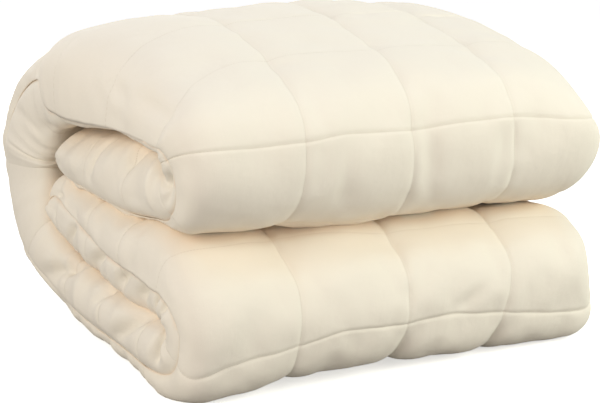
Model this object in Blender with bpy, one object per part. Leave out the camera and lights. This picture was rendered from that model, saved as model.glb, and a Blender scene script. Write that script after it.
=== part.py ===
"""A box-quilted weighted blanket, folded up as for a shelf.

Its width is folded in thirds, so that the folded strip is three sheets thick. Both ends of the strip are then
folded in to the middle, and the strip is folded in half again round a spine.

Units are metres and +Z is up. The blanket lies on the plane z = 0. Its two rounded front folds look towards -Y
and its spine towards +Y. At the left (-X) lie the open hem of the top sheet and the fold of the two others,
and at the right (+X) the other long fold.
"""

import math
from collections import namedtuple

import bmesh
import bpy
import numpy as np

NAME = "blanket"
COLLECTION = "folded_weighted_blanket"

CREAM = (0.87, 0.78, 0.64, 1.0)

# The open blanket's quilting, in squares of 125 mm
SQUARE = 0.125
COLUMNS = 4  # squares across the folded strip, a third of the blanket's width
RIGHT_ALLOWANCE = 0.010  # how far the right fold stands past its seam
WIDTH = SQUARE * COLUMNS + RIGHT_ALLOWANCE
SEAM_DEPTH = 0.011  # how far a seam lies below the crown of its squares
CROWN_POWER = 2.6  # higher is a flatter crown between narrower seams
CROWN_SHARPNESS = 0.7  # lower is a steeper drop into the seams

# The folded strip's cross-section
LAYER = 0.080  # thickness of the strip at the crown of its squares
SHEETS = 3
SLIT = 0.0012  # between the top sheet and the fold of the two others, at the left
SLIT_REACH = 0.060  # how far it runs in, and past it the sheets lie tight on each other
FOLD_SEAM_DEPTH = 0.007  # the seams that the width is folded along
FOLD_SEAM_START = 0.94  # share of a round fold's reach at which that seam begins
LEFT_REACH = 0.034  # how far the round of the left fold runs in
LEFT_SEAM_DEPTH = 0.006  # the cross seams on the left fold
RIGHT_REACH = 0.042  # how far the round of the right fold runs in
HEM = 0.006  # thickness of the sewn hem
HEM_REACH = 0.046  # where the top sheet starts to thin towards its hem
HEM_PLACE = 0.008  # the top sheet's hem, from the left fold's furthest point
HEM_LIFT = 0.002  # the hem's height over the sheet beneath it
HEM_STEPS = (0.62, 0.28, 0.06)  # mesh points on the thinning stretch, as shares of it
END_REACH = 0.030  # where the strip starts to thin towards its end hems
END_REACH_LEFT = 0.065  # the same at the left fold
END_SHARE = 0.26  # share of its thickness left there
END_SLIT_SHARE = 0.15  # share of the slit's width that doesn't thin there
END_SKEW = 0.028  # how far the end hems run back towards the left fold
END_SKEW_REACH = 0.16  # the length of strip that this pulls along
INNER_BEND_SHARE = 0.90  # thickness left on the inside of a front fold

# The strip's centre line in side view, from the lower free end to the upper one, turning left all the way.
# Headings run from +Y towards +Z, in degrees, and on past 360.
START_Y = 0.440
START_Z = 0.1310
START_HEADING = 182.0
BEND_EASE = 0.024  # length over which a run's bend passes into the next
PATH_STEP = 0.0005

# Fullness is how much thicker than half a layer the inner side of a run is, and left fullness is the same at
# the left fold. Towards that fold the run also sinks by its left drop and draws in by its left inset, and
# towards the right fold it sinks by its right drop.
Run = namedtuple("Run", "name length heading fullness left_fullness left_drop left_inset right_drop")
RUNS = (
    Run("lower inner layer", 0.369, 182.0, 1.00, 1.00, 0.003, 0.010, 0.000),
    Run("lower front fold", 0.1285, 360.0, 1.00, 1.00, 0.000, 0.000, 0.000),
    Run("bottom layer", 0.268, 360.0, 1.00, 1.00, 0.000, 0.000, 0.000),
    Run("bottom bend", 0.123, 397.0, 1.05, 1.15, 0.000, -0.001, 0.000),
    Run("spine", 0.240, 504.0, 1.40, 1.80, 0.000, -0.010, 0.000),
    Run("top bend", 0.164, 543.5, 1.35, 1.60, 0.028, 0.004, 0.012),
    Run("top layer", 0.242, 559.0, 1.35, 1.50, 0.030, 0.000, 0.022),
    Run("upper front fold", 0.1235, 722.0, 1.00, 1.00, 0.002, 0.000, 0.004),
    Run("upper inner layer", 0.336, 722.0, 1.20, 0.55, 0.006, 0.010, 0.004),
)
LEFT_SPAN = 0.17  # how far in from the left fold its columns reach
RIGHT_SPAN = 0.17

# Seams across the strip, measured from the lower free end along the outer face
FRONT_SEAM_LOW = 0.530
FRONT_SEAM_HIGH = 1.876
SQUARES_BETWEEN = 11
ROW_PITCH = (FRONT_SEAM_HIGH - FRONT_SEAM_LOW) / SQUARES_BETWEEN
FIRST_SEAM = FRONT_SEAM_LOW - 4 * ROW_PITCH

# Where the lower front fold is fuller or flatter than round, measured in the same way
Corner = namedtuple("Corner", "place reach rise")
CORNERS = (
    Corner(FRONT_SEAM_LOW + 0.036, 0.030, 0.008),
    Corner(FRONT_SEAM_LOW - ROW_PITCH, 0.030, -0.008),
)

# Where the outer side bulges or sinks. Row and column, and their reaches, are counted in squares from the lower
# front seam and from the left fold.
Push = namedtuple("Push", "name row column row_reach column_reach x y z")
PUSHES = (
    Push("spine's left end", 5.5, 0.0, 1.3, 0.9, -0.006, 0.009, 0.000),
    Push("lower back edge", 3.4, 0.0, 0.7, 0.8, 0.005, -0.006, 0.008),
    Push("lower left corner", 0.9, 0.0, 0.5, 0.4, -0.008, 0.000, -0.003),
    Push("underside of the lower front", 0.55, 1.7, 0.45, 1.1, 0.000, 0.000, 0.009),
    Push("lower right corner", 0.15, 4.0, 0.30, 0.5, 0.015, 0.000, -0.004),
    Push("side of the lower right", -0.60, 4.0, 0.25, 0.4, -0.006, 0.000, 0.000),
    Push("shoulder of the lower right", -1.45, 4.0, 0.45, 0.6, 0.000, 0.000, -0.014),
    Push("upper right shoulder", 10.5, 3.9, 0.35, 0.4, -0.007, 0.000, -0.010),
    Push("upper right corner", 11.3, 4.0, 0.30, 0.4, 0.008, 0.000, 0.000),
    Push("upper right rim", 9.4, 3.8, 0.40, 0.4, 0.000, 0.000, 0.004),
    Push("crest", 8.1, 2.8, 0.90, 1.2, 0.000, 0.000, 0.007),
)

# The middle of the folded blanket, which is where the origin lies
CENTRE_X = 0.2526
CENTRE_Y = 0.2723

# Places of the mesh's rows inside a square, as shares of its side
OUTER_STEPS = (0.0, 0.14, 0.38, 0.62, 0.86)
INNER_STEPS = (0.0, 0.20, 0.80)
ROUND_STEPS = 6  # faces round a fold
END_MARGIN = 0.06  # share of a square kept free of further rows at both ends of a stretch


def centre_line():
    """Places, outward normals, outer-face lengths and bends along the strip, PATH_STEP apart."""
    turns = []
    heading = START_HEADING
    for run in RUNS:
        count = round(run.length / PATH_STEP)
        turns += [math.radians(run.heading - heading) / count] * count
        heading = run.heading
    ease = round(BEND_EASE / PATH_STEP)
    padded = np.concatenate([np.full(ease, turns[0]), turns, np.full(ease, turns[-1])])
    turns = np.convolve(padded, np.ones(ease) / ease, "same")[ease:-ease]
    headings = math.radians(START_HEADING) + np.concatenate([[0.0], np.cumsum(turns)])
    middles = (headings[1:] + headings[:-1]) / 2
    y = START_Y + np.concatenate([[0.0], np.cumsum(np.cos(middles))]) * PATH_STEP
    z = START_Z + np.concatenate([[0.0], np.cumsum(np.sin(middles))]) * PATH_STEP
    places = np.stack([y, z], axis=1)
    normals = np.stack([np.sin(headings), -np.cos(headings)], axis=1)
    outer = places + normals * LAYER / 2
    outside = np.concatenate([[0.0], np.cumsum(np.linalg.norm(np.diff(outer, axis=0), axis=1))])
    bends = np.concatenate([turns, turns[-1:]]) / PATH_STEP
    return places, normals, outside, bends


def rows_within(start, end, pitch, first, steps):
    """Places from start to end where mesh rows run: steps in each square, with a seam at first."""
    lowest = math.floor((start - first) / pitch) - 1
    highest = math.ceil((end - first) / pitch) + 1
    places = [first + (square + step) * pitch for square in range(lowest, highest) for step in steps]
    margin = pitch * END_MARGIN
    return [place for place in places if start + margin < place < end - margin]


def dome(place, pitch, first):
    """0 on a seam and 1 at the crown of a square."""
    share = np.mod((place - first) / pitch, 1.0)
    return float(1.0 - np.abs(2.0 * share - 1.0) ** CROWN_POWER)


def thinning(distance, reach, share):
    """From share at an edge up to 1 where the cloth is full, along a quarter ellipse."""
    t = min(max(distance / reach, 0.0), 1.0)
    return share + (1.0 - share) * math.sqrt(1.0 - (1.0 - t) ** 2)


def section():
    """Points (across, through, kind) round the strip's cross-section.

    Across is measured from the left fold and through from the centre line, positive outside. Kind names the
    stretch that a point belongs to, which says how the seams shape it.
    """
    half = LAYER / 2
    gap = SLIT / 2
    upper_slit = half - LAYER / SHEETS
    right_centre = WIDTH - RIGHT_REACH
    points = []

    def right_fold(first, last):
        for step in range(first, last):
            angle = math.pi / 2 * step / (ROUND_STEPS // 2)
            points.append((right_centre + RIGHT_REACH * math.cos(angle), half * math.sin(angle), "right"))

    # right fold, from the middle of its round to the outer face
    right_fold(0, ROUND_STEPS // 2 + 1)
    # outer face of the top sheet, right to left
    for across in reversed(rows_within(HEM_REACH, right_centre, SQUARE, 0.0, OUTER_STEPS)):
        points.append((across, half, "outer"))
    # its hem
    hem_height = upper_slit + gap + HEM / 2 + HEM_LIFT
    top_of_hem = hem_height + HEM / 2
    for share in HEM_STEPS:
        across = HEM_PLACE + (HEM_REACH - HEM_PLACE) * share
        points.append((across, top_of_hem + (half - top_of_hem) * thinning(share, 1.0, 0.0), "hem"))
    points.append((HEM_PLACE, hem_height + HEM / 4, "edge"))
    points.append((HEM_PLACE, hem_height - HEM / 4, "edge"))
    points.append((HEM_PLACE + HEM, hem_height - HEM / 2, "edge"))
    # the slit: in under the top sheet and back over the fold of the two others
    fold_top = upper_slit - gap
    points += [(SLIT_REACH, upper_slit + gap, "slit"), (SLIT_REACH, fold_top, "slit")]
    # left fold of the two other sheets
    fold_centre = (fold_top - half) / 2
    for step in range(ROUND_STEPS + 1):
        angle = math.pi * step / ROUND_STEPS
        across = LEFT_REACH - LEFT_REACH * math.sin(angle)
        points.append((across, fold_centre + (fold_top + half) / 2 * math.cos(angle), "left"))
    # inner face, left to right
    for across in rows_within(LEFT_REACH, right_centre, SQUARE, 0.0, INNER_STEPS):
        points.append((across, -half, "inner"))
    # right fold, from the inner face to the middle of its round
    right_fold(-(ROUND_STEPS // 2), 0)
    return points


def run_table(names):
    """Places of the runs' middles along the centre line, then one row of values for each named column."""
    lengths = np.array([run.length for run in RUNS])
    middles = np.cumsum(lengths) - lengths / 2
    return middles, [[getattr(run, name) for run in RUNS] for name in names]


def seamed(across, through, kind, row_dome):
    """A section point once the seams have drawn it in."""
    row_drop = 1.0 - row_dome ** CROWN_SHARPNESS
    if kind in ("outer", "inner"):
        fullness = (row_dome * dome(across, SQUARE, 0.0)) ** CROWN_SHARPNESS
        return across, through - math.copysign(SEAM_DEPTH * (1.0 - fullness), through)
    if kind == "hem":
        share = (through - LAYER / SHEETS / 2) / (LAYER / 2)
        return across, through - SEAM_DEPTH * row_drop * share
    if kind == "left":
        centre_x, centre_z, depth = LEFT_REACH, -LAYER / SHEETS / 2, LEFT_SEAM_DEPTH
    elif kind == "right":
        centre_x, centre_z, depth = WIDTH - RIGHT_REACH, 0.0, SEAM_DEPTH
    else:
        return across, through
    reach = math.hypot(across - centre_x, through - centre_z)
    sideways = abs(across - centre_x) / reach
    groove = FOLD_SEAM_DEPTH * max(0.0, (sideways - FOLD_SEAM_START) / (1.0 - FOLD_SEAM_START))
    shrink = 1.0 - (depth * row_drop + groove) / reach
    return centre_x + (across - centre_x) * shrink, centre_z + (through - centre_z) * shrink


def outer_move(row, column):
    """How far the outer side is moved at a place counted in squares."""
    move = np.zeros(3)
    for push in PUSHES:
        row_distance = (row - push.row) / push.row_reach
        column_distance = (column - push.column) / push.column_reach
        move += math.exp(-row_distance ** 2 - column_distance ** 2) * np.array((push.x, push.y, push.z))
    return move


def cloth_points():
    """Every mesh point as an array of (row along the strip, point of the section, xyz)."""
    places, normals, outside, bends = centre_line()
    length = outside[-1]
    rows = [0.0] + rows_within(0.0, length, ROW_PITCH, FIRST_SEAM, OUTER_STEPS) + [length]
    loop = section()
    half = LAYER / 2
    tightest = np.max(np.abs(bends))
    middles, columns = run_table(("fullness", "left_fullness", "left_drop", "left_inset", "right_drop"))
    points = np.zeros((len(rows), len(loop), 3))
    for row, along in enumerate(rows):
        index = min(int(np.searchsorted(outside, along)), len(places) - 1)
        squares_along = (along - FRONT_SEAM_LOW) / ROW_PITCH
        row_dome = dome(along, ROW_PITCH, FIRST_SEAM)
        from_end = min(along, length - along)
        skew = END_SKEW * max(0.0, 1.0 - from_end / END_SKEW_REACH)
        squeeze = 1.0 - (1.0 - INNER_BEND_SHARE) * (abs(bends[index]) / tightest) ** 2
        rise = sum(corner.rise * math.exp(-((along - corner.place) / corner.reach) ** 2) for corner in CORNERS)
        values = [float(np.interp(index * PATH_STEP, middles, column)) for column in columns]
        fullness, left_fullness, left_drop, left_inset, right_drop = values
        for column, (across, through, kind) in enumerate(loop):
            across, through = seamed(across, through, kind, row_dome)
            left = max(0.0, 1.0 - across / LEFT_SPAN) ** 2
            right = max(0.0, 1.0 - (WIDTH - across) / RIGHT_SPAN) ** 2
            thin = thinning(from_end, END_REACH + (END_REACH_LEFT - END_REACH) * left, END_SHARE)
            through *= thin + (1.0 - thin) * END_SLIT_SHARE if kind == "slit" else thin
            if through < 0.0:
                through *= squeeze * (fullness + (left_fullness - fullness) * left)
            else:
                through += rise * min(1.0, through / half)
            points[row, column, 0] = across + left_inset * left
            points[row, column, 1:] = places[index] + normals[index] * through
            points[row, column, 1] -= skew * left
            points[row, column, 2] -= left_drop * left + right_drop * right
            outer_share = min(max(0.5 + through / LAYER, 0.0), 1.0)
            points[row, column] += outer_share * outer_move(squares_along, across / SQUARE)
    points[:, :, 0] -= CENTRE_X
    points[:, :, 1] -= CENTRE_Y
    points[:, :, 2] = np.maximum(points[:, :, 2], 0.0)
    return points


def cloth_mesh():
    """A flat grid bent into the folded strip, joined along its length and closed at its two end hems."""
    points = cloth_points()
    rows, columns = points.shape[:2]
    bm = bmesh.new()
    bmesh.ops.create_grid(bm, x_segments=columns, y_segments=rows - 1, size=0.5)
    for vertex in bm.verts:
        column = round((vertex.co.x + 0.5) * columns) % columns
        row = round((vertex.co.y + 0.5) * (rows - 1))
        vertex.co = points[row, column]
    bmesh.ops.remove_doubles(bm, verts=bm.verts, dist=0.00001)
    open_edges = [edge for edge in bm.edges if edge.is_boundary]
    bmesh.ops.holes_fill(bm, edges=open_edges)
    caps = [face for face in bm.faces if len(face.verts) > 4]
    bmesh.ops.triangulate(bm, faces=caps, ngon_method="EAR_CLIP")
    bmesh.ops.recalc_face_normals(bm, faces=bm.faces)
    mesh = bpy.data.meshes.new(NAME)
    bm.to_mesh(mesh)
    bm.free()
    mesh.shade_smooth()
    return mesh


def cotton():
    """Plain cream cotton."""
    material = bpy.data.materials.new("cream_cotton")
    material.use_nodes = True
    shader = material.node_tree.nodes["Principled BSDF"]
    shader.inputs["Base Color"].default_value = CREAM
    shader.inputs["Roughness"].default_value = 0.9
    shader.inputs["Metallic"].default_value = 0.0
    return material


def build():
    """Clears the scene and puts the folded blanket in its own collection."""
    for scene_object in list(bpy.data.objects):
        bpy.data.objects.remove(scene_object, do_unlink=True)
    collection = bpy.data.collections.new(COLLECTION)
    bpy.context.scene.collection.children.link(collection)
    blanket = bpy.data.objects.new(NAME, cloth_mesh())
    blanket.data.materials.append(cotton())
    collection.objects.link(blanket)


build()
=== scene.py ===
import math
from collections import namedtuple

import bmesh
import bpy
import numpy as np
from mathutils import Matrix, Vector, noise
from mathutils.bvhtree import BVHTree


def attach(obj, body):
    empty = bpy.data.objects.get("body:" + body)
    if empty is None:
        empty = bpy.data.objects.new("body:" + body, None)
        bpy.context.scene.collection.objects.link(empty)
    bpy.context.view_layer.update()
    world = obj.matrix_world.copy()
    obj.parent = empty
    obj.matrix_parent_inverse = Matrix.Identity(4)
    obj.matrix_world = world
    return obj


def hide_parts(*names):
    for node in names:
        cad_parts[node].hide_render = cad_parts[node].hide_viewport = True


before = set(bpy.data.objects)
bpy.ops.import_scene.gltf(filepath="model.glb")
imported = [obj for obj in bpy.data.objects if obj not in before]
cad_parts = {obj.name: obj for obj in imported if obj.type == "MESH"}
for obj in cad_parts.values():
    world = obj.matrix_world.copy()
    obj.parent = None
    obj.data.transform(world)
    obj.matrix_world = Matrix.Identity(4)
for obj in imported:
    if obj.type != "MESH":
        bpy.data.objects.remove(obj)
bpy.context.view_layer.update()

# The folded weighted blanket: quilted cream cotton, on a pale floor in soft studio light.
#
# The cloth is a flat grid whose lines follow the quilting seams. It is bent into the folded strip
# and blown up between its seams as filled cloth, and then it gets its stitched grooves, gathers
# and creases.
#
# Units are metres. The blanket lies on z = 0. Its two front folds look towards -Y, its spine
# towards +Y, and the hem that shows is at its left end, -X.

# ---- Quilting -----------------------------------------------------------------------------------

SQUARE = 0.125
COLUMNS = 4
RIGHT_ALLOWANCE = 0.010  # how far the right fold stands past its seam
WIDTH = SQUARE * COLUMNS + RIGHT_ALLOWANCE
ROW_POWER = 6.0  # higher is a flatter crown between narrower seams
COLUMN_POWER = 3.0

# ---- The strip's cross-section ------------------------------------------------------------------

LAYER = 0.080  # thickness of the strip
HALF = LAYER / 2
SLIT_REACH = 0.036  # how far in from the left the slit under the top sheet runs
LEFT_REACH = 0.034  # how wide the round folds at both sides are
RIGHT_REACH = 0.042
END_REACH = 0.030  # the strip thins out over this length at its two ends
END_REACH_LEFT = 0.055  # and over this one at their left corners
END_SHARE = 0.34  # of its thickness is left there
END_SLIT_SHARE = 0.15  # of that thinning is spared at the slit
END_SKEW_LOWER = 0.030  # how far the ends' left corners stand away from the spine
END_SKEW_UPPER = 0.045
END_SKEW_REACH = 0.16
INNER_BEND_SHARE = 0.90  # of the inner side's thickness is left in the sharpest bend
OUTER_SHARE = 0.95  # the outer side starts a little thinner, because the cloth swells
CROSSING = 0.4  # of a seam's depth is gone where it crosses another

# The section is worked out for each of these hangs of the top sheet, and each row lies between two
HANGS = (-3.0, -2.0, -1.0, 0.0, 1.0, 2.0, 3.0)
SLIT_HEIGHT = 0.0133  # of the slit under a top sheet that doesn't hang
SLIT_DROP = 0.0070  # how much lower it lies for each step of hang
HEM_ANGLE = 61.0  # from the top of the fold beneath, where that sheet's hem ends
HEM_ANGLE_STEP = 14.0
HEM_SHARES = (1.0, 0.75, 0.45)  # of that angle, where the hem's underside has a line
HEM_PROUD = 0.0015  # how far it stands out at each step of hang
HEM_ROUND = 0.0015
HEM_GAP = -0.0004  # less than 0, because the hem presses into the fold beneath
SHOULDER_REACH = 0.052  # the top sheet's round shoulder starts this far in
SHOULDER_LENGTH = 0.020  # how far and how high its curve is pulled at the top
SHOULDER_RISE = 0.001
SHOULDER_HEIGHT = 0.85  # of the way up from the hem, where it is pulled at the side
SEAMS_AT_HEM = 0.10  # how much of the seams' depth is left at the hem
SEAMS_ON_FOLD = 0.8
SEAMS_AT_RIGHT = 1.3
Section = namedtuple("Section", "across through seams kind")
# Which side of the strip each kind of place is on: 1 is outer, -1 inner, and 0 within the slit
SIDES = {
    "outer": 1.0, "shoulder": 1.0, "hem": 0.3, "slit": 0.0, "left": -0.6, "inner": -1.0,
    "right": 1.0,
}

# ---- The strip's centre line in side view -------------------------------------------------------

START_Y = 0.440
START_Z = 0.1310
START_HEADING = 182.0
BEND_EASE = 0.024  # one run's bend goes over into the next within this length
PATH_STEP = 0.0005
# right_drop is how far the right side sinks
Run = namedtuple("Run", "name length heading fullness right_drop")
RUNS = (
    Run("lower inner layer", 0.369, 182.0, 1.00, 0.000),
    Run("lower front fold", 0.1285, 360.0, 1.00, 0.000),
    Run("bottom layer", 0.268, 360.0, 1.00, 0.000),
    Run("bottom bend", 0.123, 397.0, 1.05, 0.000),
    Run("spine", 0.240, 504.0, 1.40, 0.000),
    Run("top bend", 0.164, 543.5, 1.35, 0.012),
    Run("top layer", 0.242, 559.0, 1.35, 0.022),
    Run("upper front fold", 0.1235, 722.0, 1.00, 0.004),
    Run("upper inner layer", 0.336, 722.0, 1.20, 0.004),
)
# The left end, at these places along the outer face: how full the inner side is, how far the top
# sheet hangs down over the fold of the others, how far the end draws in and sinks, how much of the
# seams' depth shows there and how deep its gathers are
Left = namedtuple("Left", "along fullness hang inset drop seams gathers")
LEFTS = (
    Left(0.00, 0.80, -1.2, 0.008, 0.003, 0.3, 0.0025),
    Left(0.10, 1.05, -0.6, 0.008, 0.003, 0.3, 0.0035),
    Left(0.22, 1.20, 0.5, 0.006, 0.002, 0.4, 0.0040),
    Left(0.35, 1.35, 1.0, 0.003, 0.000, 0.4, 0.0040),
    Left(0.42, 1.30, 0.6, 0.000, 0.000, 0.4, 0.0030),
    Left(0.50, 1.10, -0.5, 0.000, 0.000, 0.5, 0.0010),
    Left(0.75, 1.00, -1.5, 0.000, 0.000, 0.9, 0.0030),
    Left(0.95, 1.40, -1.5, -0.001, 0.000, 0.6, 0.0025),
    Left(1.05, 1.95, -1.2, -0.006, 0.000, 0.3, 0.0015),
    Left(1.20, 2.50, -1.0, -0.004, 0.000, 0.1, 0.0010),
    Left(1.30, 2.40, -1.0, 0.001, 0.012, 0.1, 0.0008),
    Left(1.36, 2.20, -1.0, 0.003, 0.022, 0.1, 0.0006),
    Left(1.40, 1.90, -0.6, 0.003, 0.028, 0.1, 0.0006),
    Left(1.43, 1.85, 0.8, 0.001, 0.031, 0.1, 0.0006),
    Left(1.45, 1.80, 1.5, 0.000, 0.032, 0.1, 0.0006),
    Left(1.475, 1.72, 2.1, 0.000, 0.033, 0.2, 0.0006),
    Left(1.52, 1.62, 2.7, 0.001, 0.034, 0.2, 0.0008),
    Left(1.55, 1.50, 2.9, 0.002, 0.035, 0.2, 0.0008),
    Left(1.60, 1.32, 2.9, 0.004, 0.034, 0.3, 0.0010),
    Left(1.65, 1.06, 2.9, 0.006, 0.031, 0.3, 0.0010),
    Left(1.70, 0.84, 2.8, 0.007, 0.027, 0.4, 0.0010),
    Left(1.75, 0.68, 2.6, 0.007, 0.021, 0.5, 0.0010),
    Left(1.80, 0.60, 1.8, 0.005, 0.014, 0.6, 0.0008),
    Left(1.85, 0.70, 0.8, 0.002, 0.007, 0.8, 0.0006),
    Left(1.90, 0.90, 0.0, 0.002, 0.002, 0.8, 0.0006),
    Left(2.00, 1.20, -1.2, 0.003, 0.002, 0.5, 0.0010),
    Left(2.05, 1.45, -2.4, 0.004, 0.004, 0.2, 0.0020),
    Left(2.10, 1.40, -2.8, 0.004, 0.005, 0.2, 0.0030),
    Left(2.15, 1.22, -2.8, 0.004, 0.006, 0.2, 0.0035),
    Left(2.20, 1.00, -2.8, 0.004, 0.006, 0.2, 0.0035),
    Left(2.25, 0.78, -2.8, 0.004, 0.006, 0.2, 0.0030),
    Left(2.30, 0.58, -2.8, 0.005, 0.006, 0.2, 0.0025),
    Left(2.37, 0.50, -2.8, 0.006, 0.006, 0.2, 0.0020),
)
LEFT_SPAN = 0.17  # how far in from the left and the right the ends' own shape reaches
RIGHT_SPAN = 0.17
CENTRE_X = 0.2526  # the middle of the folded blanket, which stands at the origin
CENTRE_Y = 0.2723

# ---- Seams across the strip, from the lower free end along the outer face -----------------------

FRONT_SEAM_LOW = 0.530
FRONT_SEAM_HIGH = 1.874
SQUARES_BETWEEN = 11
ROW_PITCH = (FRONT_SEAM_HIGH - FRONT_SEAM_LOW) / SQUARES_BETWEEN
FIRST_SEAM = FRONT_SEAM_LOW - 4 * ROW_PITCH

# Where the outer side stands out or sinks across the whole strip
Corner = namedtuple("Corner", "place reach rise")
CORNERS = (
    Corner(FRONT_SEAM_LOW + 0.036, 0.030, 0.008),
    Corner(FRONT_SEAM_LOW - ROW_PITCH, 0.030, -0.008),
)

# How far each seam runs off its straight line, at these places across the strip
SHIFT_EASE = 0.1  # less so within this length of the strip's ends
SHIFT_PLACES = (0.00, 0.02, 0.04, 0.07, 0.13, 0.17, 0.25, 0.30, 0.38, 0.45, 0.51)
SeamShift = namedtuple("SeamShift", "seam shifts")
STRAIGHT = (0.0,) * len(SHIFT_PLACES)
SEAM_SHIFTS = (
    # seam 0 is the lower front seam, 11 the upper front one
    SeamShift(-3, STRAIGHT),
    SeamShift(-1, (
        -0.034, -0.022, -0.019, -0.018, -0.026, -0.020, -0.012, -0.010, -0.008, -0.006, -0.004)),
    SeamShift(0, (
        0.020, 0.008, 0.000, -0.006, -0.010, -0.020, -0.015, -0.020, -0.010, 0.000, 0.006)),
    SeamShift(2, STRAIGHT),
    SeamShift(4, STRAIGHT),
    SeamShift(5, (0.045, 0.045, 0.040, 0.025, 0.010, 0.000, 0.000, 0.000, 0.000, 0.000, 0.000)),
    SeamShift(6, STRAIGHT),
    SeamShift(8, STRAIGHT),
    SeamShift(10, (
        0.060, 0.045, 0.020, 0.000, -0.009, -0.010, -0.009, -0.011, -0.015, -0.016, -0.014)),
    SeamShift(11, (
        -0.003, 0.000, 0.002, 0.004, 0.004, 0.000, 0.002, -0.001, -0.003, 0.000, -0.006)),
    SeamShift(13, STRAIGHT),
)
# How far the three seams along the strip stray to the right, how deep they lie, how much their
# stitches draw in and how much the cloth between them swells, at these places along it
Stray = namedtuple("Stray", "along first second third depth stitch swell")
STRAYS = (
    Stray(0.00, 0.000, 0.000, 0.000, 0.0045, 0.80, 1.00),
    Stray(0.33, 0.000, 0.006, 0.010, 0.0040, 0.80, 0.90),
    Stray(0.48, 0.002, 0.003, 0.008, 0.0030, 0.45, 0.60),
    Stray(0.56, -0.003, 0.000, -0.004, 0.0048, 0.50, 0.75),
    Stray(0.80, 0.000, 0.000, 0.000, 0.0055, 0.80, 1.00),
    Stray(1.15, 0.000, 0.000, 0.000, 0.0050, 0.80, 1.00),
    Stray(1.35, 0.020, 0.030, 0.020, 0.0030, 0.80, 0.90),
    Stray(1.62, 0.028, 0.036, 0.028, 0.0020, 0.70, 0.75),
    Stray(1.74, 0.020, 0.028, 0.022, 0.0015, 0.55, 0.65),
    Stray(1.80, 0.010, 0.016, 0.012, 0.0015, 0.45, 0.55),
    Stray(1.874, 0.004, 0.004, 0.006, 0.0015, 0.40, 0.50),
    Stray(1.96, 0.002, 0.008, 0.009, 0.0030, 0.35, 0.55),
    Stray(2.05, 0.002, 0.012, 0.012, 0.0055, 0.60, 0.80),
    Stray(2.20, 0.000, 0.000, 0.000, 0.0050, 0.80, 1.00),
)

# How deep the seams across the strip lie and how much their stitches draw in, counted in squares
# from the lower front seam
RowSeam = namedtuple("RowSeam", "number depth stitch")
ROW_SEAMS = (
    RowSeam(-5, 0.003, 1.0),
    RowSeam(-2, 0.003, 1.0),
    RowSeam(-1, 0.0006, 0.20),
    RowSeam(0, 0.0015, 1.0),
    RowSeam(1, 0.004, 1.0),
    RowSeam(5, 0.004, 1.0),
    RowSeam(7, 0.003, 0.8),
    RowSeam(8, 0.001, 0.5),
    RowSeam(10, 0.000, 0.35),
    RowSeam(11, 0.0005, 1.0),
    RowSeam(12, 0.003, 1.0),
    RowSeam(15, 0.003, 1.0),
)

# Where the outer side bulges or sinks: places and reaches in squares from the lower front seam and
# from the left fold, moves in metres
Push = namedtuple("Push", "name row column row_reach column_reach x y z")
PUSHES = (
    Push("spine's left end", 5.4, 0.0, 1.2, 0.8, -0.008, 0.014, 0.000),
    Push("lower back edge", 3.4, 0.0, 0.7, 0.8, 0.005, -0.006, 0.008),
    Push("lower left corner", 0.9, 0.0, 0.5, 0.4, -0.008, 0.000, -0.003),
    Push("underside of the lower front", 0.58, 1.4, 0.50, 0.9, 0.000, 0.000, 0.012),
    Push("lower right corner", 0.15, 4.0, 0.30, 0.5, 0.015, 0.000, -0.004),
    Push("side of the lower right", -0.60, 4.0, 0.25, 0.4, -0.006, 0.000, 0.000),
    Push("shoulder of the lower right", -1.45, 4.0, 0.45, 0.6, 0.000, 0.000, -0.014),
    Push("upper right shoulder", 10.7, 3.95, 0.40, 0.4, -0.010, 0.000, -0.011),
    Push("upper right corner", 11.3, 4.0, 0.30, 0.4, 0.008, 0.000, 0.000),
    Push("upper right rim", 9.4, 3.8, 0.40, 0.4, 0.000, 0.000, 0.004),
    Push("tip of the lower inner layer", -4.1, 0.1, 0.40, 0.35, 0.000, 0.010, 0.009),
    Push("tip of the upper inner layer", 15.0, 0.1, 0.40, 0.35, 0.000, 0.009, -0.004),
    Push("top of the lower left", -1.4, 0.3, 0.5, 0.9, 0.000, 0.000, 0.009),
    Push("underside of the upper left", 12.4, 0.2, 0.6, 0.9, 0.000, 0.000, 0.012),
    Push("crest", 8.1, 2.8, 0.90, 1.0, 0.000, 0.000, 0.004),
    Push("top, behind on the left", 7.8, 0.9, 0.80, 0.9, 0.000, 0.000, -0.004),
)

# ---- Mesh ---------------------------------------------------------------------------------------

# Grid lines within a square, closer together by the seams
OUTER_STEPS = (
    0.0, 0.02, 0.06, 0.12, 0.19, 0.26, 0.34, 0.42, 0.5, 0.58, 0.66, 0.74, 0.81, 0.88, 0.94, 0.98,
)
INNER_STEPS = (0.0, 0.08, 0.28, 0.5, 0.72, 0.92)
ROUND_STEPS = 8  # faces in a quarter of a fold
SHOULDER_STEPS = 9
END_MARGIN = 0.012  # no grid line runs nearer to an end than this share of a square
MERGE_DISTANCE = 0.00001
TINY = 1e-9  # keeps a division from zero


def running_total(steps):
    """The sum of the steps before each point, from 0 at the first."""
    return np.concatenate([[0.0], np.cumsum(steps)])


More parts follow.
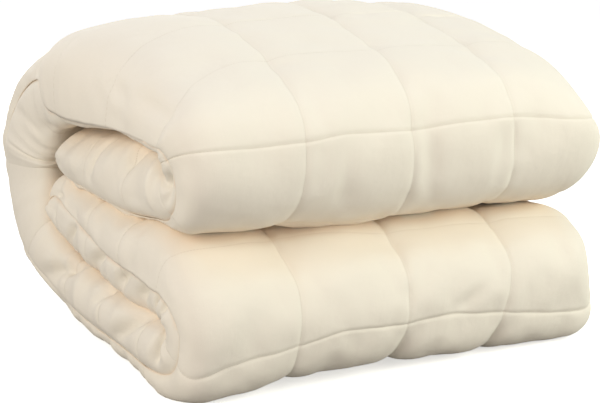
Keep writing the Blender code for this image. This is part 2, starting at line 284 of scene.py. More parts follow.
def centre_line():
    """The strip's centre line in PATH_STEP steps, each point with its outward normal and bend.

    along is its place along the outer face, and centre the one along the centre line itself.
    """
    turns = []
    heading = START_HEADING
    for run in RUNS:
        count = round(run.length / PATH_STEP)
        turns += [math.radians(run.heading - heading) / count] * count
        heading = run.heading
    ease = round(BEND_EASE / PATH_STEP)
    padded = np.concatenate([np.full(ease, turns[0]), turns, np.full(ease, turns[-1])])
    turns = np.convolve(padded, np.ones(ease) / ease, "same")[ease:-ease]
    headings = math.radians(START_HEADING) + running_total(turns)
    middles = (headings[1:] + headings[:-1]) / 2
    y = START_Y + running_total(np.cos(middles)) * PATH_STEP
    z = START_Z + running_total(np.sin(middles)) * PATH_STEP
    normal_y, normal_z = np.sin(headings), -np.cos(headings)
    outer = np.stack([y + normal_y * HALF, z + normal_z * HALF], axis=1)
    return {
        "along": running_total(np.linalg.norm(np.diff(outer, axis=0), axis=1)),
        "centre": np.arange(len(y)) * PATH_STEP,
        "y": y,
        "z": z,
        "normal_y": normal_y,
        "normal_z": normal_z,
        "bend": np.abs(np.concatenate([turns, turns[-1:]])) / PATH_STEP,
    }


def lines_within(start, end, pitch, first, steps):
    """Places from start to end where grid lines run: steps in each square, a seam at first."""
    lowest = math.floor((start - first) / pitch) - 1
    highest = math.ceil((end - first) / pitch) + 1
    squares = range(lowest, highest)
    places = [first + (square + step) * pitch for square in squares for step in steps]
    margin = pitch * END_MARGIN
    return [place for place in places if start + margin < place < end - margin]


def near_seam(place, power):
    """1 on a seam and 0 at the crown of a square, for a place in squares."""
    return np.abs(2.0 * np.mod(place, 1.0) - 1.0) ** power


def near_edge(distance, span, most=None):
    """1 at an edge and 0 at a span from it. Past the edge it goes on rising, up to most."""
    return np.clip(1.0 - distance / span, 0.0, most) ** 2


def thinning(distance, reach, share):
    """From share at an edge up to 1 where the cloth is full, along a quarter ellipse."""
    t = np.clip(distance / reach, 0.0, 1.0)
    return share + (1.0 - share) * np.sqrt(1.0 - (1.0 - t) ** 2)


def bezier(corners, steps):
    """Points on a cubic curve, both ends included."""
    t = np.linspace(0.0, 1.0, steps + 1)[:, None]
    a, b, c, d = (np.array(corner) for corner in corners)
    return a * (1 - t) ** 3 + 3 * b * t * (1 - t) ** 2 + 3 * c * t ** 2 * (1 - t) + d * t ** 3


def left_fold(top, angle):
    """A place on the round fold of the two inner sheets, at an angle in degrees from its top."""
    turn = math.radians(angle)
    across = LEFT_REACH * (1.0 - math.sin(turn))
    return across, (top - HALF) / 2 + (top + HALF) / 2 * math.cos(turn)


def section(hang):
    """The strip's cross-section as a closed loop, from the middle of the right fold over the
    outer face.
    """
    right_centre = WIDTH - RIGHT_REACH
    points = []

    def right_fold(first, last):
        for step in range(first, last):
            angle = math.pi / 2 * step / ROUND_STEPS
            across = right_centre + RIGHT_REACH * math.cos(angle)
            points.append((across, HALF * math.sin(angle), SEAMS_AT_RIGHT, "right"))

    right_fold(0, ROUND_STEPS + 1)
    for across in reversed(lines_within(SHOULDER_REACH, right_centre, SQUARE, 0.0, OUTER_STEPS)):
        points.append((across, HALF, 1.0, "outer"))
    # the top sheet's round shoulder, down to its hem on the fold of the two others
    top = SLIT_HEIGHT - SLIT_DROP * hang
    hem_angle = HEM_ANGLE + HEM_ANGLE_STEP * hang
    proud = HEM_PROUD * max(hang, 0.0)
    hem_across, hem_through = left_fold(top, hem_angle)
    edge = (hem_across - proud - HEM_ROUND, hem_through + HEM_ROUND)
    upper = (edge[0] + SHOULDER_LENGTH, HALF + SHOULDER_RISE)
    lower = (edge[0] - proud, edge[1] + (HALF - edge[1]) * SHOULDER_HEIGHT)
    shoulder = bezier(((SHOULDER_REACH, HALF), upper, lower, edge), SHOULDER_STEPS)
    for step, (across, through) in enumerate(shoulder):
        seams = 1.0 + (SEAMS_AT_HEM - 1.0) * step / SHOULDER_STEPS
        points.append((across, through, seams, "shoulder"))
    for share in HEM_SHARES:
        across, through = left_fold(top, hem_angle * share)
        points.append((across - proud * share, through + HEM_GAP, SEAMS_AT_HEM, "hem"))
    points += [(SLIT_REACH, top + HEM_GAP, 0.0, "slit"), (SLIT_REACH, top, 0.0, "slit")]
    for step in range(2 * ROUND_STEPS + 1):
        angle = 180.0 * step / (2 * ROUND_STEPS)
        past_hem = min(max((angle - hem_angle) / (180.0 - hem_angle), 0.0), 1.0)
        seams = SEAMS_AT_HEM + (SEAMS_ON_FOLD - SEAMS_AT_HEM) * past_hem
        points.append((*left_fold(top, angle), seams, "left"))
    for across in lines_within(LEFT_REACH, right_centre, SQUARE, 0.0, INNER_STEPS):
        points.append((across, -HALF, 1.0, "inner"))
    right_fold(-ROUND_STEPS, 0)
    across, through, seams, kind = zip(*points)
    return Section(np.array(across), np.array(through), np.array(seams), np.array(kind))


def around_section(shape):
    """Each point's distance round the section from the hem, over the outer face. It is less than
    0 past the hem.
    """
    travelled = running_total(np.hypot(np.diff(shape.across), np.diff(shape.through)))
    hem = np.flatnonzero(shape.kind == "hem")[0]
    fold = np.flatnonzero(shape.kind == "left")[0]
    past_slit = fold + round(2 * ROUND_STEPS * HEM_ANGLE / 180.0)
    before = np.clip(travelled[hem] - travelled, 0.0, None)
    return before - np.clip(travelled - travelled[past_slit], 0.0, None)


def table_values(table, place, names, at):
    """Named columns of a table whose place column says where its rows stand."""
    places = [getattr(row, place) for row in table]
    return [np.interp(at, places, [getattr(row, name) for row in table]) for name in names]


def run_values(names, centre):
    """Named columns of the runs' table at places along the centre line."""
    lengths = np.array([run.length for run in RUNS])
    middles = np.cumsum(lengths) - lengths / 2
    return [np.interp(centre, middles, [getattr(run, name) for run in RUNS]) for name in names]


def section_values(sections, name, hang):
    """A named value of the sections' points for each row's hang."""
    columns = []
    for place in range(hang.shape[1]):
        values = [getattr(shape, name)[place] for shape in sections]
        columns.append(np.interp(hang[:, place], HANGS, values))
    return np.stack(columns, axis=1)


def seam_shift(phase, across):
    """How far the cloth is shifted along the strip, by the seams on both sides of it."""
    shift = np.zeros(np.broadcast(phase, across).shape)
    numbers = [row.seam for row in SEAM_SHIFTS]
    stack = np.stack([np.interp(across, SHIFT_PLACES, row.shifts) for row in SEAM_SHIFTS])
    for column in range(across.shape[-1]):
        shift[:, column] = np.interp(phase[:, 0], numbers, stack[:, column])
    return shift


def drawn_in(across, through, depth):
    """The section's points moved into the cloth by the seams' depth, square to its outline."""
    step_across = np.roll(across, -1, axis=1) - np.roll(across, 1, axis=1)
    step_through = np.roll(through, -1, axis=1) - np.roll(through, 1, axis=1)
    size = np.hypot(step_across, step_through) + TINY
    return across - depth * step_through / size, through + depth * step_across / size


def pushed(points, row, column, share):
    """The points moved by the pushes, as far as each point's share of them."""
    for push in PUSHES:
        from_row = (row - push.row) / push.row_reach
        from_column = (column - push.column) / push.column_reach
        near = np.exp(-from_row ** 2 - from_column ** 2)
        points = points + (near * share)[..., None] * np.array((push.x, push.y, push.z))
    return points


def folded_points():
    """Grid points of the folded cloth, with each point's places and side on the strip."""
    line = centre_line()
    length = line["along"][-1]
    rows = [0.0] + lines_within(0.0, length, ROW_PITCH, FIRST_SEAM, OUTER_STEPS) + [length]
    rows = np.array(rows)[:, None]
    phase = (rows - FRONT_SEAM_LOW) / ROW_PITCH
    sections = [section(hang) for hang in HANGS]
    straight = section(0.0)
    kind, flat = straight.kind, straight.across

    from_start = np.clip(rows / SHIFT_EASE, 0.0, 1.0)
    to_finish = np.clip((length - rows) / SHIFT_EASE, 0.0, 1.0)
    along = rows + seam_shift(phase, flat) * from_start * to_finish
    at = {name: np.interp(along, line["along"], line[name]) for name in line}
    fullness, right_drop = run_values(("fullness", "right_drop"), at["centre"])
    names = ("fullness", "hang", "inset", "drop", "seams")
    left_fullness, hang, left_inset, left_drop, left_seams = table_values(
        LEFTS, "along", names, along)
    across, through, seams = (
        section_values(sections, name, hang) for name in ("across", "through", "seams"))
    strays = table_values(STRAYS, "along", ("first", "second", "third"), rows[:, 0])
    edge = np.zeros(len(rows))
    seam_columns = range(COLUMNS + 1)
    strays = np.stack([edge, *strays, edge], axis=1)
    across = across + np.stack([np.interp(flat / SQUARE, seam_columns, row) for row in strays])

    # seams draw the cloth in
    row_depth, = table_values(ROW_SEAMS, "number", ("depth",), phase)
    column_depth, = table_values(STRAYS, "along", ("depth",), rows)
    left_share = 1.0 + (left_seams - 1.0) * near_edge(across, LEFT_SPAN, 1.0)
    row_part = seams * left_share * near_seam(phase, ROW_POWER)
    on_face = np.isin(kind, ("outer", "inner"))
    column_part = np.where(on_face, near_seam(flat / SQUARE, COLUMN_POWER), 0.0)[None, :]
    depth = row_depth * row_part + column_depth * column_part * (1.0 - CROSSING * row_part)
    across, through = drawn_in(across, through, depth)

    # ends, bends and the sag towards both sides
    left, right = near_edge(across, LEFT_SPAN), near_edge(WIDTH - across, RIGHT_SPAN)
    from_end = np.minimum(rows, length - rows)
    end_reach = END_REACH + (END_REACH_LEFT - END_REACH) * np.clip(left, 0, 1)
    thin = thinning(from_end, end_reach, END_SHARE)
    through = through * np.where(kind == "slit", thin + (1.0 - thin) * END_SLIT_SHARE, thin)
    squeeze = 1.0 - (1.0 - INNER_BEND_SHARE) * (at["bend"] / line["bend"].max()) ** 2
    inside = through * squeeze * (fullness + (left_fullness - fullness) * left)
    rise = sum(
        corner.rise * np.exp(-((along - corner.place) / corner.reach) ** 2) for corner in CORNERS)
    outside = through * OUTER_SHARE + rise * np.clip(through / HALF, 0.0, 1.0)
    through = np.where(through < 0.0, inside, outside)
    skew = np.where(phase < SQUARES_BETWEEN / 2, END_SKEW_LOWER, END_SKEW_UPPER)
    skew = skew * np.clip(1.0 - from_end / END_SKEW_REACH, 0.0, None)
    x = across + left_inset * left - CENTRE_X
    y = at["y"] + at["normal_y"] * through - skew * left - CENTRE_Y
    z = at["z"] + at["normal_z"] * through - left_drop * left - right_drop * right
    share = np.clip(0.5 + through / LAYER, 0.0, 1.0)
    points = pushed(np.stack([x, y, z], axis=2), phase, across / SQUARE, share)
    points[..., 2] = np.maximum(points[..., 2], 0.0)
    places = {
        "phase": phase,
        "column": flat / SQUARE,
        "around": around_section(straight),
        "side": np.array([SIDES[name] for name in kind]),
    }
    return points, {name: np.broadcast_to(place, x.shape) for name, place in places.items()}


def cloth_mesh():
    """A flat grid bent into the folded strip, joined along its length and closed at its ends."""
    points, places = folded_points()
    rows, columns = points.shape[:2]
    flat = running_total(np.linalg.norm(np.diff(points[rows // 2], axis=0), axis=1))
    flat = np.append(flat, 2 * flat[-1] - flat[-2])
    bm = bmesh.new()
    bmesh.ops.create_grid(bm, x_segments=columns, y_segments=rows - 1, size=0.5)
    weave = bm.loops.layers.uv.new("weave")
    layers = {name: bm.verts.layers.float.new(name) for name in places}

    def grid_place(vertex):
        return round((vertex.co.y + 0.5) * (rows - 1)), round((vertex.co.x + 0.5) * columns)

    for face in bm.faces:
        for loop in face.loops:
            row, column = grid_place(loop.vert)
            loop[weave].uv = (flat[column], places["phase"][row, 0] * ROW_PITCH)
    for vertex in bm.verts:
        row, column = grid_place(vertex)
        column = column % columns
        vertex.co = points[row, column]
        for name, layer in layers.items():
            vertex[layer] = places[name][row, column]
    bmesh.ops.remove_doubles(bm, verts=bm.verts, dist=MERGE_DISTANCE)
    bmesh.ops.holes_fill(bm, edges=[edge for edge in bm.edges if edge.is_boundary])
    caps = [face for face in bm.faces if len(face.verts) > 4]
    bmesh.ops.triangulate(bm, faces=caps, ngon_method="EAR_CLIP")
    bmesh.ops.recalc_face_normals(bm, faces=bm.faces)
    mesh = bpy.data.meshes.new("quilted_blanket")
    bm.to_mesh(mesh)
    bm.free()
    return mesh


# ---- Fine shape ---------------------------------------------------------------------------------

HELD_SHARE = 0.03  # of a square, on both sides of a seam that the simulation holds
HELD_HEIGHT = 0.002  # cloth that lies lower than this is held on the floor
HELD_DEPTH = 0.0010  # seams across the strip that lie shallower than this swell with the cloth
HELD_SIDE = 0.9  # cloth whose side is less than this is held
CLOTH_EXCESS = 0.02
PRESSURE = 4.0
LAST_FRAME = 20
MOST_MOVE = 0.0045

# Rays that measure how closed in each point is, for the shade painted into the folds
SHADE_RAY_START = 0.001
SHADE_RAY_REACH = 0.090  # cloth further off than this adds nothing to the painted shade
SHADE_RAY_TURNS = (0.0, 72.0, 144.0, 216.0, 288.0)

STITCH_DEPTH, STITCH_HALF = 0.0013, 0.0016
HEM_CALM = 0.010  # nearer to the hem than this the points move less
HEM_LEAST = 0.1
PUCKER_HEIGHT = 0.0012
PUCKER_LENGTH = 0.016  # away from the seam
PUCKER_SPREAD = 0.048
PUCKER_PITCH = 0.022  # along the seam
GATHER_PITCH, GATHER_LENGTH = 0.045, 0.180
GATHER_MIDDLE = 0.030  # how far past the hem they are deepest
GATHER_REACH_OUTER = 0.024
GATHER_REACH_INNER = 0.060
SWELL_HEIGHT, SWELL_SIZE = 0.0030, 0.110
DENT_HEIGHT, DENT_SIZE = 0.0014, 0.045
CREASE_FADE = 0.1  # shallower towards its ends
NOISE_GAIN = 1.6  # brings Blender's noise to between about -1 and 1
# Where each use of the noise is cut from it
ROW_PUCKERS_CUT, COLUMN_PUCKERS_CUT, SWELL_CUT, DENT_CUT, GATHER_CUT = 3.1, 7.7, 11.3, 17.9, 23.5

# Creases: from one place to another, along the strip and round the section from the hem
Crease = namedtuple("Crease", "name along_a around_a along_b around_b width depth")
CREASES = (
    Crease("hem of the top layer", 1.59, 0.025, 1.64, 0.012, 0.004, 0.0014),
    Crease("hem of the top layer, further down", 1.63, 0.013, 1.70, 0.006, 0.004, 0.0014),
    Crease("short one on the top layer", 1.63, 0.030, 1.67, 0.026, 0.005, 0.0035),
    Crease("long one on the top layer", 1.68, 0.031, 1.76, 0.032, 0.006, 0.0040),
    Crease("spine, upper", 1.28, 0.000, 1.35, -0.028, 0.006, 0.0030),
    Crease("spine, upper end", 1.34, -0.027, 1.44, -0.040, 0.006, 0.0026),
    Crease("spine, lower", 1.21, -0.010, 1.20, -0.050, 0.007, 0.0026),
    Crease("hollow of the spine", 1.24, -0.046, 1.16, -0.064, 0.013, 0.0060),
    Crease("first fold of the upper end", 2.22, -0.018, 2.19, -0.054, 0.008, 0.0110),
    Crease("swell by the first fold", 2.17, -0.018, 2.15, -0.050, 0.012, -0.0040),
    Crease("second fold of the upper end", 2.13, -0.020, 2.10, -0.056, 0.009, 0.0110),
    Crease("pocket of the upper front fold", 1.97, -0.028, 1.90, -0.004, 0.009, 0.0110),
    Crease("lower pocket", 1.93, -0.008, 1.99, -0.004, 0.006, 0.0070),
    Crease("ridge by the pockets", 2.05, -0.046, 2.04, -0.010, 0.009, -0.0060),
    Crease("gather by the knot", 0.02, -0.006, 0.05, 0.010, 0.006, 0.0080),
    Crease("first gather", 0.080, -0.034, 0.115, 0.002, 0.007, 0.0110),
    Crease("second gather", 0.180, -0.032, 0.230, -0.002, 0.008, 0.0130),
    Crease("third gather", 0.275, -0.030, 0.310, -0.003, 0.008, 0.0125),
    Crease("fourth gather", 0.330, -0.034, 0.370, -0.003, 0.008, 0.0125),
    Crease("fifth gather", 0.40, -0.030, 0.415, -0.006, 0.008, 0.0100),
    Crease("gather on the lower front fold", 0.45, -0.018, 0.44, 0.004, 0.007, 0.0080),
    Crease("bottom, strong one", 0.97, -0.008, 0.87, -0.048, 0.009, 0.0130),
    Crease("bottom, second", 0.80, -0.022, 0.77, -0.050, 0.008, 0.0100),
    Crease("bottom, third", 0.73, -0.004, 0.66, -0.044, 0.009, 0.0130),
    Crease("bottom, at the corner", 0.61, -0.006, 0.55, -0.036, 0.009, 0.0110),
    Crease("first dent of the upper front fold", 1.885, 0.196, 1.950, 0.192, 0.010, 0.0030),
    Crease("second dent of the upper front fold", 1.885, 0.292, 1.960, 0.300, 0.012, 0.0035),
    Crease("third dent of the upper front fold", 1.885, 0.383, 1.950, 0.378, 0.009, 0.0026),
    Crease("fold above the lower front seam", 0.525, 0.335, 0.495, 0.364, 0.008, 0.0038),
    Crease("slant below it, first", 0.540, 0.285, 0.595, 0.262, 0.008, 0.0030),
    Crease("slant below it, second", 0.540, 0.410, 0.590, 0.385, 0.008, 0.0030),
)


def uneven(along, around, cut):
    """Smooth noise between about -1 and 1."""
    places = zip(along.tolist(), around.tolist())
    return np.array([noise.noise(Vector((a, b, cut))) for a, b in places]) * NOISE_GAIN


def point_places(mesh):
    """The places of the mesh's points, a row for each."""
    places = np.empty(len(mesh.vertices) * 3)
    mesh.vertices.foreach_get("co", places)
    return places.reshape(-1, 3)


def point_values(mesh, names):
    """The named values that the mesh's points carry."""
    values = []
    for name in names:
        values.append(np.empty(len(mesh.vertices)))
        mesh.attributes[name].data.foreach_get("value", values[-1])
    return values


def write_values(mesh, name, values):
    """Gives the mesh's points a new named value."""
    mesh.attributes.new(name, "FLOAT", "POINT").data.foreach_set("value", values)


def seam_distances(phase, column):
    """How far the nearest seam across the strip is, and the nearest along it, in squares."""
    nearest = np.clip(np.round(column), 1, COLUMNS - 1)
    return np.abs(phase - np.round(phase)), np.abs(column - nearest)


def blown_up(piece):
    """Lets the cloth swell between its stitched seams by simulation, and keeps its new shape."""
    mesh = piece.data
    before = point_places(mesh)
    phase, column, side = point_values(mesh, ("phase", "column", "side"))
    row_distance, column_distance = seam_distances(phase, column)
    row_depth, = table_values(ROW_SEAMS, "number", ("depth",), phase)
    row_held = (row_distance < HELD_SHARE) & (row_depth > HELD_DEPTH)
    held = row_held | (column_distance < HELD_SHARE)
    held = held | (side < HELD_SIDE) | (before[:, 2] < HELD_HEIGHT)
    group = piece.vertex_groups.new(name="held")
    group.add(np.flatnonzero(held).tolist(), 1.0, "REPLACE")

    swelling = piece.modifiers.new("swelling", "CLOTH")
    settings = swelling.settings
    settings.quality = 5
    settings.mass = 0.3
    settings.tension_stiffness = settings.compression_stiffness = 15.0
    settings.shear_stiffness = 5.0
    settings.bending_stiffness = 0.5
    settings.shrink_min = -CLOTH_EXCESS
    settings.use_pressure = True
    settings.uniform_pressure_force = PRESSURE
    settings.vertex_group_mass = "held"
    settings.effector_weights.gravity = 0.0
    swelling.collision_settings.use_collision = False
    swelling.point_cache.frame_start = 1
    swelling.point_cache.frame_end = LAST_FRAME
    scene = bpy.context.scene
    for number in range(1, LAST_FRAME + 1):
        scene.frame_set(number)
    graph = bpy.context.evaluated_depsgraph_get()
    after = point_places(piece.evaluated_get(graph).data)
    piece.modifiers.remove(swelling)
    scene.frame_set(1)

    move = after - before
    far = np.linalg.norm(move, axis=1, keepdims=True) + TINY
    swell, = table_values(STRAYS, "along", ("swell",), FRONT_SEAM_LOW + phase * ROW_PITCH)
    move *= swell[:, None] * MOST_MOVE * np.tanh(far / MOST_MOVE) / far
    mesh.vertices.foreach_set("co", (before + move).ravel())
    mesh.update()


def subdivided(piece):
    """The piece's mesh, one step finer and smooth."""
    finer = piece.modifiers.new("finer", "SUBSURF")
    finer.levels = finer.render_levels = 1
    graph = bpy.context.evaluated_depsgraph_get()
    mesh = bpy.data.meshes.new_from_object(
        piece.evaluated_get(graph), preserve_all_data_layers=True, depsgraph=graph)
    piece.modifiers.remove(finer)
    return mesh


def occlusion_for_painted_shade(mesh):
    """Writes how much of what each point faces is close cloth: 0 in the open, 1 deep in a fold.
    The cloth's material paints warm shade into its colour by this value.
    """
    bm = bmesh.new()
    bm.from_mesh(mesh)
    tree = BVHTree.FromBMesh(bm)
    depths = []
    for vertex in bm.verts:
        normal = vertex.normal
        side = normal.orthogonal().normalized()
        other = normal.cross(side)
        start = vertex.co + normal * SHADE_RAY_START
        near = 0.0
        for turn in SHADE_RAY_TURNS:
            angle = math.radians(turn)
            way = (normal + side * math.cos(angle) + other * math.sin(angle)).normalized()
            distance = tree.ray_cast(start, way, SHADE_RAY_REACH)[3]
            near += 0.0 if distance is None else 1.0 - distance / SHADE_RAY_REACH
        depths.append(near / len(SHADE_RAY_TURNS))
    bm.free()
    write_values(mesh, "occlusion_for_painted_shade", depths)


def crease_depth(crease, along, around):
    """How deep a crease presses in the cloth at each place."""
    start = np.array((crease.along_a, crease.around_a))
    line = np.array((crease.along_b, crease.around_b)) - start
    here = np.stack([along, around], axis=1) - start
    share = np.clip(here @ line / (line @ line), 0.0, 1.0)
    distance = np.linalg.norm(here - share[:, None] * line, axis=1)
    fade = np.sin(np.pi * (CREASE_FADE + (1.0 - 2.0 * CREASE_FADE) * share))
    return crease.depth * fade * np.exp(-(distance / crease.width) ** 2)


def fine_shape(mesh):
    """Moves the points in and out: stitches, puckers, gathers, creases and soft unevenness."""
    points, normals = point_places(mesh), np.empty(len(mesh.vertices) * 3)
    mesh.vertex_normals.foreach_get("vector", normals)
    phase, column, around, side = point_values(mesh, ("phase", "column", "around", "side"))
    along = FRONT_SEAM_LOW + phase * ROW_PITCH
    from_hem = np.clip(np.abs(around) / HEM_CALM, HEM_LEAST, 1.0)
    free = np.clip(np.abs(side) * 2.0, 0.0, 1.0) * from_hem
    on_face = np.clip(np.abs(side) * 2.0 - 1.0, 0.0, 1.0)
    left_seams, gathers = table_values(LEFTS, "along", ("seams", "gathers"), along)
    row_stitch, = table_values(ROW_SEAMS, "number", ("stitch",), phase)
    column_stitch, = table_values(STRAYS, "along", ("stitch",), along)
    left_share = 1.0 + (left_seams - 1.0) * near_edge(column * SQUARE, LEFT_SPAN, 1.0)
    row_share = free * row_stitch * left_share
    row_distance, column_distance = seam_distances(phase, column)
    row_distance, column_distance = row_distance * ROW_PITCH, column_distance * SQUARE

    # stitches and the puckers beside them
    row_line = np.exp(-(row_distance / STITCH_HALF) ** 2)
    column_line = np.exp(-(column_distance / STITCH_HALF) ** 2)
    move = -STITCH_DEPTH * (row_share * row_line + on_face * column_stitch * column_line)
    row_puckers = uneven(around / PUCKER_PITCH, phase * ROW_PITCH / PUCKER_SPREAD, ROW_PUCKERS_CUT)
    column_puckers = uneven(
        along / PUCKER_PITCH, column * SQUARE / PUCKER_SPREAD, COLUMN_PUCKERS_CUT)
    move += PUCKER_HEIGHT * row_share * row_puckers * np.exp(-row_distance / PUCKER_LENGTH)
    move += PUCKER_HEIGHT * on_face * column_puckers * np.exp(-column_distance / PUCKER_LENGTH)

    # the filling's soft unevenness
    move += SWELL_HEIGHT * free * uneven(along / SWELL_SIZE, around / SWELL_SIZE, SWELL_CUT)
    move += DENT_HEIGHT * free * uneven(along / DENT_SIZE, around / DENT_SIZE, DENT_CUT)

    # gathers round the left end, and the creases
    past_middle = around + GATHER_MIDDLE
    reach = np.where(past_middle > 0.0, GATHER_REACH_OUTER, GATHER_REACH_INNER)
    near_hem = np.exp(-(past_middle / reach) ** 2) * (column < 1.0)
    folds = uneven(along / GATHER_PITCH, around / GATHER_LENGTH, GATHER_CUT)
    move += gathers * free * near_hem * (1.0 - 2.0 * np.abs(folds))
    for crease in CREASES:
        move -= free * crease_depth(crease, along, around)
    points = points + normals.reshape(-1, 3) * move[:, None]
    points[:, 2] = np.maximum(points[:, 2], 0.0)
    mesh.vertices.foreach_set("co", points.ravel())
    nearest = np.minimum(row_distance, column_distance)
    write_values(mesh, "seam", np.where(free * on_face > 0.5, nearest, row_distance))
    mesh.update()


# ---- Materials ----------------------------------------------------------------------------------

THREAD = 0.0006  # pitch of the weave
SLUB_SCALE, SLUB_STRETCH = 900.0, 0.05
STITCH_PITCH = 0.0030
STITCH_DIP = -0.4  # between stitches the sine along the seam is less than this
STITCH_THREAD = 0.0004  # half the width of its thread
CREAM_DEEP, CREAM_LIGHT = (0.865, 0.800, 0.672, 1.0), (0.895, 0.832, 0.704, 1.0)
PATCH_SCALE, PATCH_SHARE, SLUB_SHARE = 9.0, 0.6, 0.2
STITCH_TINT = (0.90, 0.88, 0.85, 1.0)
# warm shade painted into the folds, where cloth faces close cloth
PAINTED_FOLD_SHADE_COLOUR, PAINTED_FOLD_SHADE_GAIN = (1.0, 0.925, 0.87, 1.0), 1.3
WEAVE_HEIGHT, SLUB_HEIGHT, THREAD_HEIGHT = 0.00004, 0.00008, 0.0003
RIPPLE_SCALE, RIPPLE_HEIGHT = 45.0, 0.0010
WAVE_SCALE, WAVE_STRETCH, WAVE_HEIGHT = 16.0, (1.0, 1.0, 0.4), 0.0025
COTTON_ROUGHNESS, SLUB_ROUGHNESS = 0.83, 0.06
FLOOR_THROWN = (0.36, 0.35, 0.34, 1.0)  # colour of the light that the floor throws back
FLOOR_SHOWN = (0.96, 0.96, 0.96, 1.0)
FLOOR_GLOW = 0.62  # lifts the floor to the white of the photo's ground


def new_material(name):
    """A material with its node tree and its shader."""
    material = bpy.data.materials.new(name)
    material.use_nodes = True
    tree = material.node_tree
    return material, tree, tree.nodes["Principled BSDF"]


def fill_socket(tree, socket, value):
    """Links a node's output to the socket, or sets a plain value on it."""
    if isinstance(value, bpy.types.NodeSocket):
        tree.links.new(value, socket)
    elif value is not None:
        socket.default_value = value


def math_node(tree, operation, first, second=None):
    """The output of a new Math node."""
    node = tree.nodes.new("ShaderNodeMath")
    node.operation = operation
    for socket, value in zip(node.inputs, (first, second)):
        fill_socket(tree, socket, value)
    return node.outputs["Value"]


def colour_node(tree, blend, factor, first, second):
    """The output of a new Mix node for colours."""
    node = tree.nodes.new("ShaderNodeMix")
    node.data_type = "RGBA"
    node.blend_type = blend
    for name, value in (("Factor", factor), ("A", first), ("B", second)):
        fill_socket(tree, node.inputs[name], value)
    return node.outputs["Result"]


def attribute_node(tree, name):
    """The output of a node that reads a named value of the mesh's points."""
    node = tree.nodes.new("ShaderNodeAttribute")
    node.attribute_name = name
    return node.outputs["Fac"]


def cotton():
    """Cream cotton percale: a fine plain weave with slubs, stitches on the seams, slight patches
    in its colour, and warm shade painted into its folds.
    """
    material, tree, shader = new_material("cream_cotton")
    nodes, links = tree.nodes, tree.links

    def noise_on(vector, scale, stretch=(1.0, 1.0, 1.0)):
        mapping = nodes.new("ShaderNodeMapping")
        mapping.inputs["Scale"].default_value = stretch
        texture = nodes.new("ShaderNodeTexNoise")
        texture.inputs["Scale"].default_value = scale
        texture.inputs["Detail"].default_value = 3.0
        links.new(vector, mapping.inputs["Vector"])
        links.new(mapping.outputs["Vector"], texture.inputs["Vector"])
        return texture.outputs["Fac"]

    def wave_along(distance, pitch):
        """A sine along a distance, given half a wave's length."""
        return math_node(tree, "SINE", math_node(tree, "MULTIPLY", distance, math.pi / pitch))

    def weighted_sum(*terms):
        """The sum of values that each come with their weight."""
        total = None
        for value, weight in terms:
            part = math_node(tree, "MULTIPLY", value, weight)
            total = part if total is None else math_node(tree, "ADD", total, part)
        return total

    weave_map = nodes.new("ShaderNodeUVMap")
    weave_map.uv_map = "weave"
    cloth = weave_map.outputs["UV"]
    parts = nodes.new("ShaderNodeSeparateXYZ")
    links.new(cloth, parts.inputs["Vector"])
    across, along = parts.outputs["X"], parts.outputs["Y"]
    solid = nodes.new("ShaderNodeTexCoord").outputs["Object"]

    # threads over and under each other, and longer and thicker ones here and there
    weave = math_node(tree, "MULTIPLY", wave_along(across, THREAD), wave_along(along, THREAD))
    slubs = math_node(tree, "ADD", noise_on(cloth, SLUB_SCALE, (1.0, SLUB_STRETCH, 1.0)),
                      noise_on(cloth, SLUB_SCALE, (SLUB_STRETCH, 1.0, 1.0)))

    # the stitches' thread lies on the seam, in dashes
    along_seam = wave_along(math_node(tree, "ADD", across, along), STITCH_PITCH / 2)
    dash = math_node(tree, "GREATER_THAN", along_seam, STITCH_DIP)
    on_seam = math_node(tree, "LESS_THAN", attribute_node(tree, "seam"), STITCH_THREAD)
    stitch = math_node(tree, "MULTIPLY", on_seam, dash)

    # patches in the cream, and warm shade painted into the folds where cloth faces cloth
    patches = weighted_sum((noise_on(solid, PATCH_SCALE), PATCH_SHARE), (slubs, SLUB_SHARE))
    cream = colour_node(tree, "MIX", patches, CREAM_DEEP, CREAM_LIGHT)
    cream = colour_node(tree, "MULTIPLY", stitch, cream, STITCH_TINT)
    painted_fold_shade = math_node(tree, "MULTIPLY", attribute_node(tree, "occlusion_for_painted_shade"), PAINTED_FOLD_SHADE_GAIN)
    cream = colour_node(tree, "MULTIPLY", painted_fold_shade, cream, PAINTED_FOLD_SHADE_COLOUR)
    links.new(cream, shader.inputs["Base Color"])

    height = weighted_sum(
        (weave, WEAVE_HEIGHT),
        (slubs, SLUB_HEIGHT),
        (stitch, THREAD_HEIGHT),
        (noise_on(solid, RIPPLE_SCALE), RIPPLE_HEIGHT),
        (noise_on(solid, WAVE_SCALE, WAVE_STRETCH), WAVE_HEIGHT),
    )
    bump = nodes.new("ShaderNodeBump")
    bump.inputs["Distance"].default_value = 1.0
    bump.inputs["Strength"].default_value = 0.8
    links.new(height, bump.inputs["Height"])
    links.new(bump.outputs["Normal"], shader.inputs["Normal"])
    rough = math_node(tree, "MULTIPLY", slubs, SLUB_ROUGHNESS)
    links.new(math_node(tree, "ADD", rough, COTTON_ROUGHNESS), shader.inputs["Roughness"])
    shader.inputs["Specular IOR Level"].default_value = 0.25
    shader.inputs["Sheen Weight"].default_value = 0.12
    return material


def floor_finish():
    """A plain pale floor, which throws back less light than it shows."""
    material, tree, shader = new_material("pale_floor")
    seen = tree.nodes.new("ShaderNodeLightPath").outputs["Is Camera Ray"]
    pale = colour_node(tree, "MIX", seen, FLOOR_THROWN, FLOOR_SHOWN)
    tree.links.new(pale, shader.inputs["Base Color"])
    glow = math_node(tree, "MULTIPLY", seen, FLOOR_GLOW)
    tree.links.new(glow, shader.inputs["Emission Strength"])
    shader.inputs["Emission Color"].default_value = (1.0, 0.99, 0.95, 1.0)
    shader.inputs["Roughness"].default_value = 0.8
    shader.inputs["Specular IOR Level"].default_value = 0.0
    return material


# ---- Studio -------------------------------------------------------------------------------------

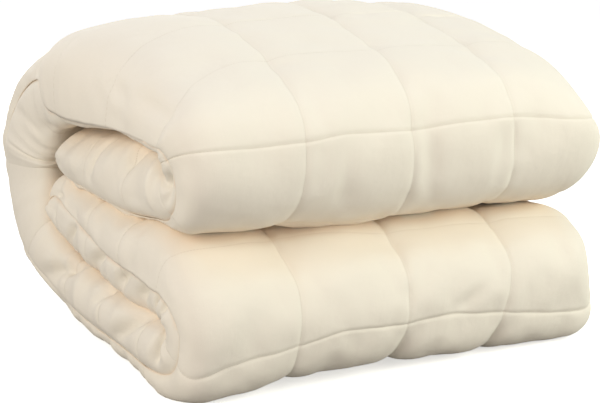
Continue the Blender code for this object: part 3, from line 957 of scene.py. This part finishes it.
CAMERA_AZIMUTH = 29.16  # to the left of the front
CAMERA_ELEVATION = 12.026
CAMERA_PLACE = (-0.5274 - CENTRE_X, -1.1690 - CENTRE_Y, 0.4854)
CAMERA_LENS = 84.9  # mm, on a sensor 36 mm wide
FLOOR_SIZE = 6.0
FILL_COLOUR, FILL_STRENGTH = (0.92, 0.91, 1.0, 1.0), 0.42
LIGHTS_AIM = (0.0, 0.0, 0.15)
SoftBox = namedtuple("SoftBox", "name x y z size power red green blue")
SOFT_BOXES = (
    SoftBox("front_box", 0.3, -2.6, 0.8, 1.6, 8.0, 1.00, 0.82, 0.78),
    SoftBox("top_box", 0.2, 0.6, 2.6, 2.0, 15.0, 0.78, 0.87, 1.00),
    SoftBox("left_box", -2.6, -0.8, 1.2, 1.6, 41.0, 1.00, 0.95, 0.86),
    SoftBox("right_box", 2.0, -1.8, 1.2, 1.6, 50.0, 0.93, 1.00, 0.90),
    SoftBox("back_box", 0.4, 2.8, 1.2, 1.6, 32.0, 1.00, 0.96, 0.88),
)


def studio_floor():
    """The pale floor that the blanket lies on."""
    bm = bmesh.new()
    bmesh.ops.create_grid(bm, x_segments=1, y_segments=1, size=FLOOR_SIZE)
    mesh = bpy.data.meshes.new("studio_floor")
    bm.to_mesh(mesh)
    bm.free()
    floor = bpy.data.objects.new("studio_floor", mesh)
    floor.data.materials.append(floor_finish())
    bpy.context.scene.collection.objects.link(floor)


def studio_world():
    """A soft fill from all round. Beyond the floor the camera sees a plain pale grey."""
    world = bpy.data.worlds.new("studio_white")
    world.use_nodes = True
    tree = world.node_tree
    fill = tree.nodes["Background"]
    fill.inputs["Color"].default_value = FILL_COLOUR
    fill.inputs["Strength"].default_value = FILL_STRENGTH
    backdrop = tree.nodes.new("ShaderNodeBackground")
    backdrop.inputs["Strength"].default_value = 1.0
    seen = tree.nodes.new("ShaderNodeLightPath")
    either = tree.nodes.new("ShaderNodeMixShader")
    tree.links.new(seen.outputs["Is Camera Ray"], either.inputs["Fac"])
    tree.links.new(fill.outputs["Background"], either.inputs[1])
    tree.links.new(backdrop.outputs["Background"], either.inputs[2])
    tree.links.new(either.outputs["Shader"], tree.nodes["World Output"].inputs["Surface"])
    bpy.context.scene.world = world


def studio_lights():
    """Soft boxes round the blanket, turned towards it."""
    for box in SOFT_BOXES:
        light = bpy.data.lights.new(box.name, "AREA")
        light.size = box.size
        light.energy = box.power
        light.color = (box.red, box.green, box.blue)
        lamp = bpy.data.objects.new(box.name, light)
        place = Vector((box.x, box.y, box.z))
        lamp.location = place
        lamp.rotation_euler = (Vector(LIGHTS_AIM) - place).to_track_quat("-Z", "Y").to_euler()
        bpy.context.scene.collection.objects.link(lamp)


def studio_camera():
    """The camera at the photo's viewing angle."""
    camera = bpy.data.cameras.new("camera")
    camera.lens = CAMERA_LENS
    camera.sensor_width = 36.0
    camera_object = bpy.data.objects.new("camera", camera)
    azimuth, elevation = math.radians(CAMERA_AZIMUTH), math.radians(CAMERA_ELEVATION)
    level = math.cos(elevation)
    ahead = Vector((math.sin(azimuth) * level, math.cos(azimuth) * level, -math.sin(elevation)))
    camera_object.location = CAMERA_PLACE
    camera_object.rotation_euler = ahead.to_track_quat("-Z", "Y").to_euler()
    scene = bpy.context.scene
    scene.collection.objects.link(camera_object)
    scene.camera = camera_object
    scene.view_settings.view_transform = "Standard"


def quilted_blanket():
    """The folded blanket as one padded piece."""
    piece = bpy.data.objects.new("quilted_blanket", cloth_mesh())
    bpy.context.scene.collection.objects.link(piece)
    piece.data.materials.append(cotton())
    blown_up(piece)
    # how closed in each point is, for the shade painted into the folds
    occlusion_for_painted_shade(piece.data)
    piece.data = subdivided(piece)
    fine_shape(piece.data)
    piece.data.shade_smooth()
    return piece


blanket = quilted_blanket()
studio_floor()
studio_world()
studio_lights()
studio_camera()
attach(blanket, "root")
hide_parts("blanket")
